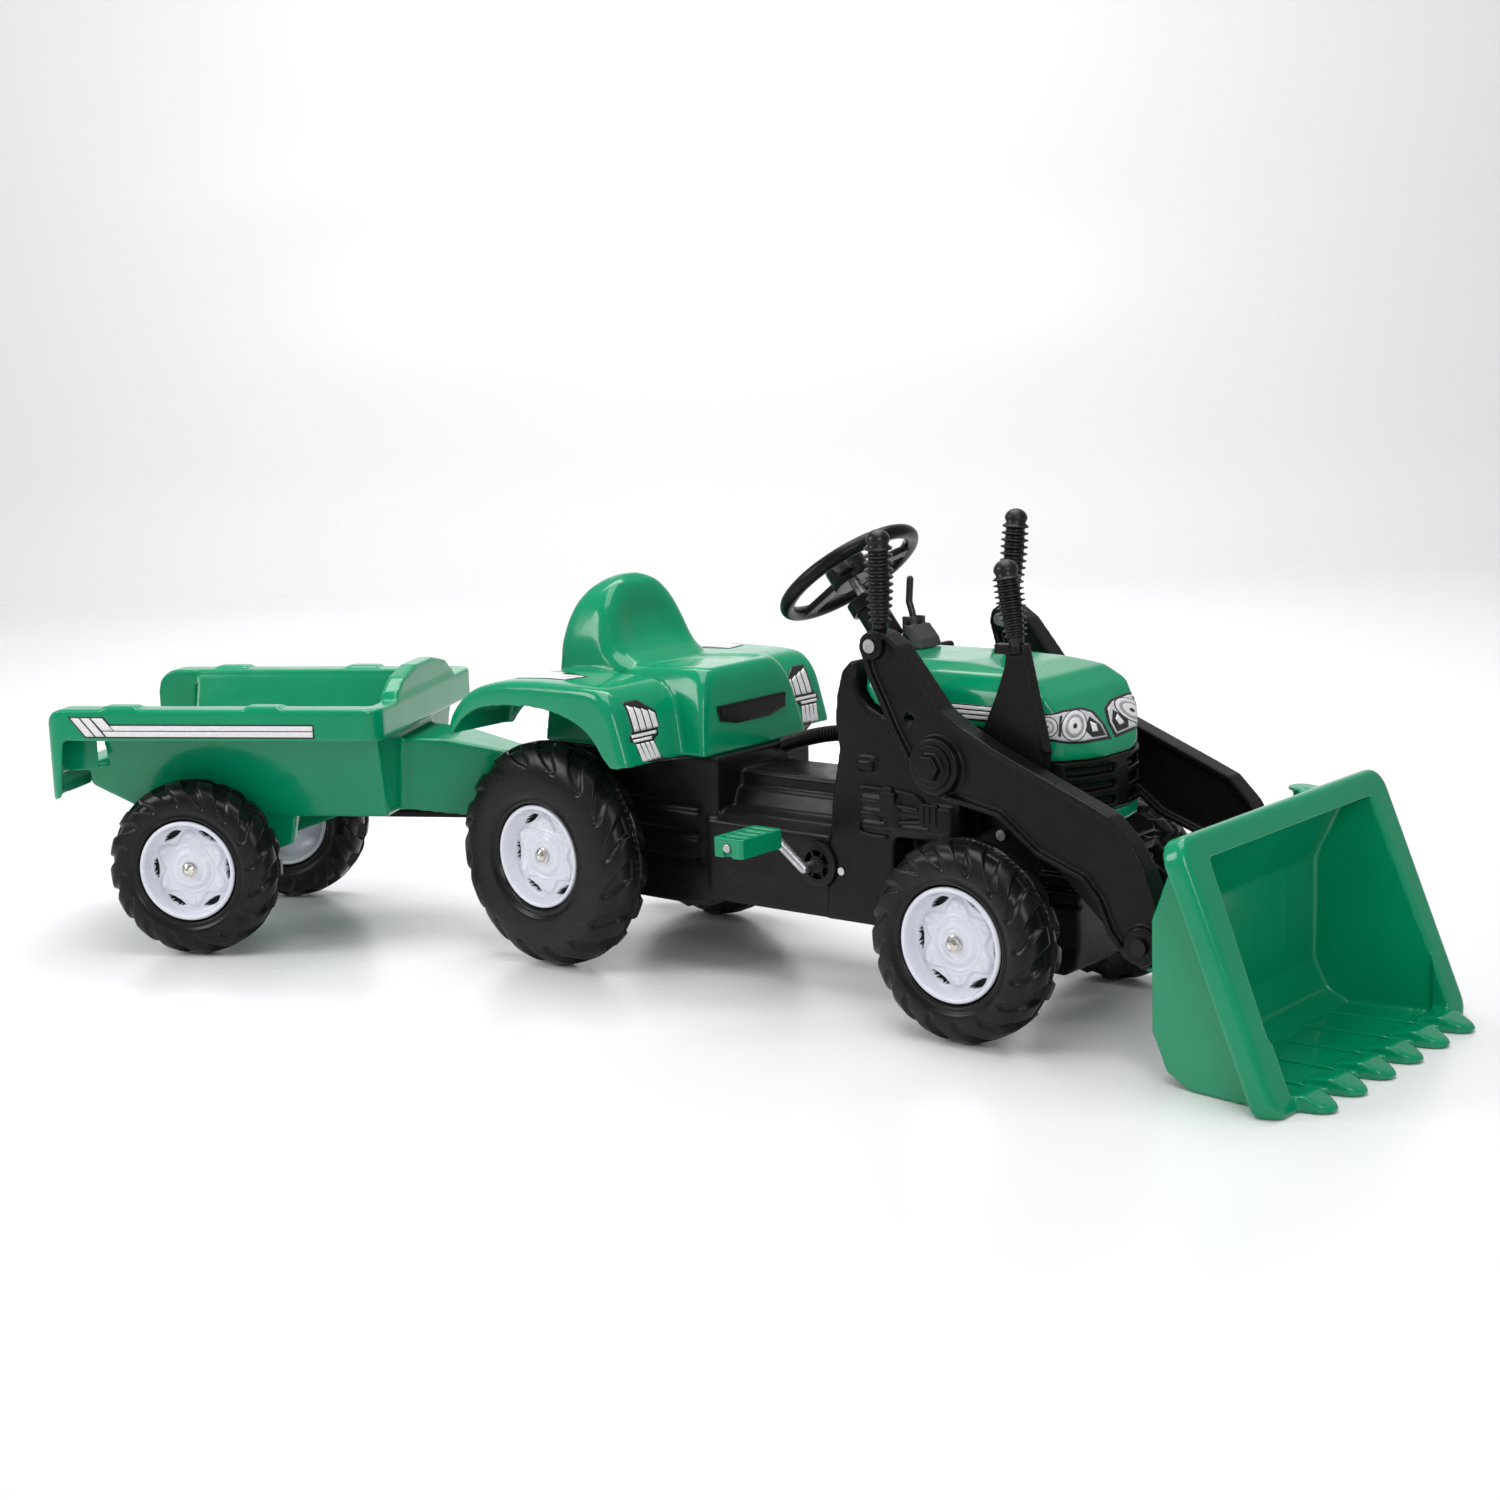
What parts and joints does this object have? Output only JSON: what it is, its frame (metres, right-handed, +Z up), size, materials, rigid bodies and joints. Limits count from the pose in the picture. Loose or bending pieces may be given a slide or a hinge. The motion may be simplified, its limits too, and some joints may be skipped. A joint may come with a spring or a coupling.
{
  "type": "ride-on toy tractor with front loader and trailer",
  "caption": "Child's pedal tractor with a lever-worked front bucket, steerable front wheels, chain drive to the rear wheels and a towed two-wheel trailer.",
  "frame": {"origin": "centre of the bounding box at ground level, rest pose with the trailer swung to the driver's right", "axes": "+X forward, +Y to the driver's left, +Z up"},
  "size_m": [1.7688, 0.678, 0.5405],
  "materials": {
    "green_plastic": "glossy",
    "black_plastic": "satin",
    "grey_plastic": "satin",
    "tyre_plastic": "matte",
    "white_plastic": "glossy",
    "steel": "zinc plated",
    "black_steel": "satin black",
    "bright_steel": "polished",
    "grip_rubber": "ribbed satin",
    "sticker_white": "printed film",
    "sticker_lamp": "printed film"
  },
  "bodies": {
    "tractor": {"chassis_body": "black_plastic", "nose_cover": "black_plastic", "hood": "green_plastic", "grille": "black_plastic", "seat_shell": "green_plastic", "seat_panel": "black_plastic", "dash_pod": "grey_plastic", "column_shroud": "black_plastic", "hose": "black_plastic", "axle_beam": "steel", "tow_bracket": "black_plastic", "hitch_pin": "steel", "crank_bearings": "black_plastic", "pivot_pins": "black_plastic", "chain": "steel", "hood_stickers": "sticker_white", "headlight_stickers": "sticker_lamp", "fender_stickers": "sticker_white", "body_screws": "steel"},
    "steering": {"steering_wheel": "black_plastic", "steering_shaft": "steel"},
    "horn": {"horn_button": "green_plastic"},
    "gear": {"gear_lever": "black_steel"},
    "track_link": {"steering_link": "steel"},
    "knuckle_right": {"knuckle_near": "steel", "front_nut_near": "bright_steel"},
    "knuckle_left": {"knuckle_far": "steel", "front_nut_far": "bright_steel"},
    "front_wheel_right": {"front_tyre_near": "tyre_plastic", "front_rim_near": "white_plastic"},
    "front_wheel_left": {"front_tyre_far": "tyre_plastic", "front_rim_far": "white_plastic"},
    "rear_drive": {"rear_axle": "steel", "rear_nuts": "bright_steel", "rear_tyre_near": "tyre_plastic", "rear_tyre_far": "tyre_plastic", "rear_rim_near": "white_plastic", "rear_rim_far": "white_plastic"},
    "crank": {"pedal_crank": "steel"},
    "pedal_right": {"pedal_near": "green_plastic"},
    "pedal_left": {"pedal_far": "green_plastic"},
    "loader": {"loader_arm_near": "black_plastic", "loader_arm_far": "black_plastic", "grip_near": "grip_rubber", "grip_far": "grip_rubber", "arm_screws": "steel"},
    "tilt": {"tilt_lever": "black_plastic", "tilt_grip": "grip_rubber"},
    "tilt_rod": {"tilt_link": "black_plastic"},
    "bucket_unit": {"bucket": "green_plastic", "bucket_pins": "black_plastic"},
    "trailer": {"trailer_tub": "green_plastic", "trailer_axle": "steel", "drawbar": "black_plastic", "trailer_stickers": "sticker_white", "trailer_nuts": "bright_steel"},
    "trailer_wheel_right": {"trailer_tyre_near": "tyre_plastic", "trailer_rim_near": "white_plastic"},
    "trailer_wheel_left": {"trailer_tyre_far": "tyre_plastic", "trailer_rim_far": "white_plastic"}
  },
  "joints": [
    {"name": "steer", "type": "hinge", "parent": "tractor", "child": "steering", "pos_m": [0.19436, 0.11696, 0.475], "axis": [-0.6018, 0, 0.7986], "range_deg": [-30, 30]},
    {"name": "horn_press", "type": "slide", "parent": "steering", "child": "horn", "axis": [0.6018, 0, -0.7986], "range_m": [0, 0.0025], "stiffness_N_per_m": 800},
    {"name": "gear_tip", "type": "hinge", "parent": "tractor", "child": "gear", "pos_m": [0.26336, 0.14497, 0.418], "axis": [0, 1, 0], "range_deg": [-15, 15]},
    {"name": "link_slide", "type": "slide", "parent": "tractor", "child": "track_link", "axis": [0, 1, 0], "range_m": [-0.014, 0.014]},
    {"name": "steer_right", "type": "hinge", "parent": "tractor", "child": "knuckle_right", "pos_m": [0.44936, 0.01896, 0.11], "axis": [0, 0, 1], "range_deg": [-16, 16]},
    {"name": "steer_left", "type": "hinge", "parent": "tractor", "child": "knuckle_left", "pos_m": [0.44936, 0.21496, 0.11], "axis": [0, 0, 1], "range_deg": [-16, 16]},
    {"name": "front_spin_right", "type": "hinge", "parent": "knuckle_right", "child": "front_wheel_right", "pos_m": [0.44936, -0.03404, 0.11], "axis": [0, 1, 0], "continuous": true},
    {"name": "front_spin_left", "type": "hinge", "parent": "knuckle_left", "child": "front_wheel_left", "pos_m": [0.44936, 0.26797, 0.11], "axis": [0, 1, 0], "continuous": true},
    {"name": "rear_spin", "type": "hinge", "parent": "tractor", "child": "rear_drive", "pos_m": [-0.15064, 0.11696, 0.137], "axis": [0, 1, 0], "continuous": true},
    {"name": "crank_spin", "type": "hinge", "parent": "tractor", "child": "crank", "pos_m": [0.21136, 0.11696, 0.154], "axis": [0, 1, 0], "continuous": true},
    {"name": "pedal_spin_right", "type": "hinge", "parent": "crank", "child": "pedal_right", "pos_m": [0.17436, -0.05704, 0.19], "axis": [0, 1, 0], "continuous": true},
    {"name": "pedal_spin_left", "type": "hinge", "parent": "crank", "child": "pedal_left", "pos_m": [0.24836, 0.29096, 0.118], "axis": [0, 1, 0], "continuous": true},
    {"name": "lift", "type": "hinge", "parent": "tractor", "child": "loader", "pos_m": [0.40436, 0.11696, 0.291], "axis": [0, -1, 0], "range_deg": [0, 30]},
    {"name": "tilt_hand", "type": "hinge", "parent": "loader", "child": "tilt", "pos_m": [0.47936, 0.01697, 0.29], "axis": [0, 1, 0], "range_deg": [-15, 40]},
    {"name": "tilt_rod_pin", "type": "hinge", "parent": "tilt", "child": "tilt_rod", "pos_m": [0.46736, 0.00996, 0.266], "axis": [0, 1, 0], "range_deg": [-40, 15]},
    {"name": "bucket_tilt", "type": "hinge", "parent": "loader", "child": "bucket_unit", "pos_m": [0.65536, 0.11696, 0.128], "axis": [0, 1, 0], "range_deg": [-15, 40]},
    {"name": "hitch", "type": "hinge", "parent": "tractor", "child": "trailer", "pos_m": [-0.23064, 0.11696, 0.15], "axis": [0, 0, 1], "range_deg": [-67, 12]},
    {"name": "trailer_spin_right", "type": "hinge", "parent": "trailer", "child": "trailer_wheel_right", "pos_m": [-0.57766, -0.23545, 0.11], "axis": [-0.4586, 0.8886, 0], "continuous": true},
    {"name": "trailer_spin_left", "type": "hinge", "parent": "trailer", "child": "trailer_wheel_left", "pos_m": [-0.71892, 0.03825, 0.11], "axis": [-0.4586, 0.8886, 0], "continuous": true}
  ],
  "couplings": [
    {"joint": "link_slide", "follows": "steer", "m_per_rad": -0.025},
    {"joint": "steer_right", "follows": "steer", "ratio": 0.5},
    {"joint": "steer_left", "follows": "steer", "ratio": 0.5},
    {"joint": "crank_spin", "follows": "rear_spin", "ratio": 0.78571},
    {"joint": "tilt_hand", "follows": "bucket_tilt", "ratio": 1},
    {"joint": "tilt_rod_pin", "follows": "bucket_tilt", "ratio": -1}
  ]
}
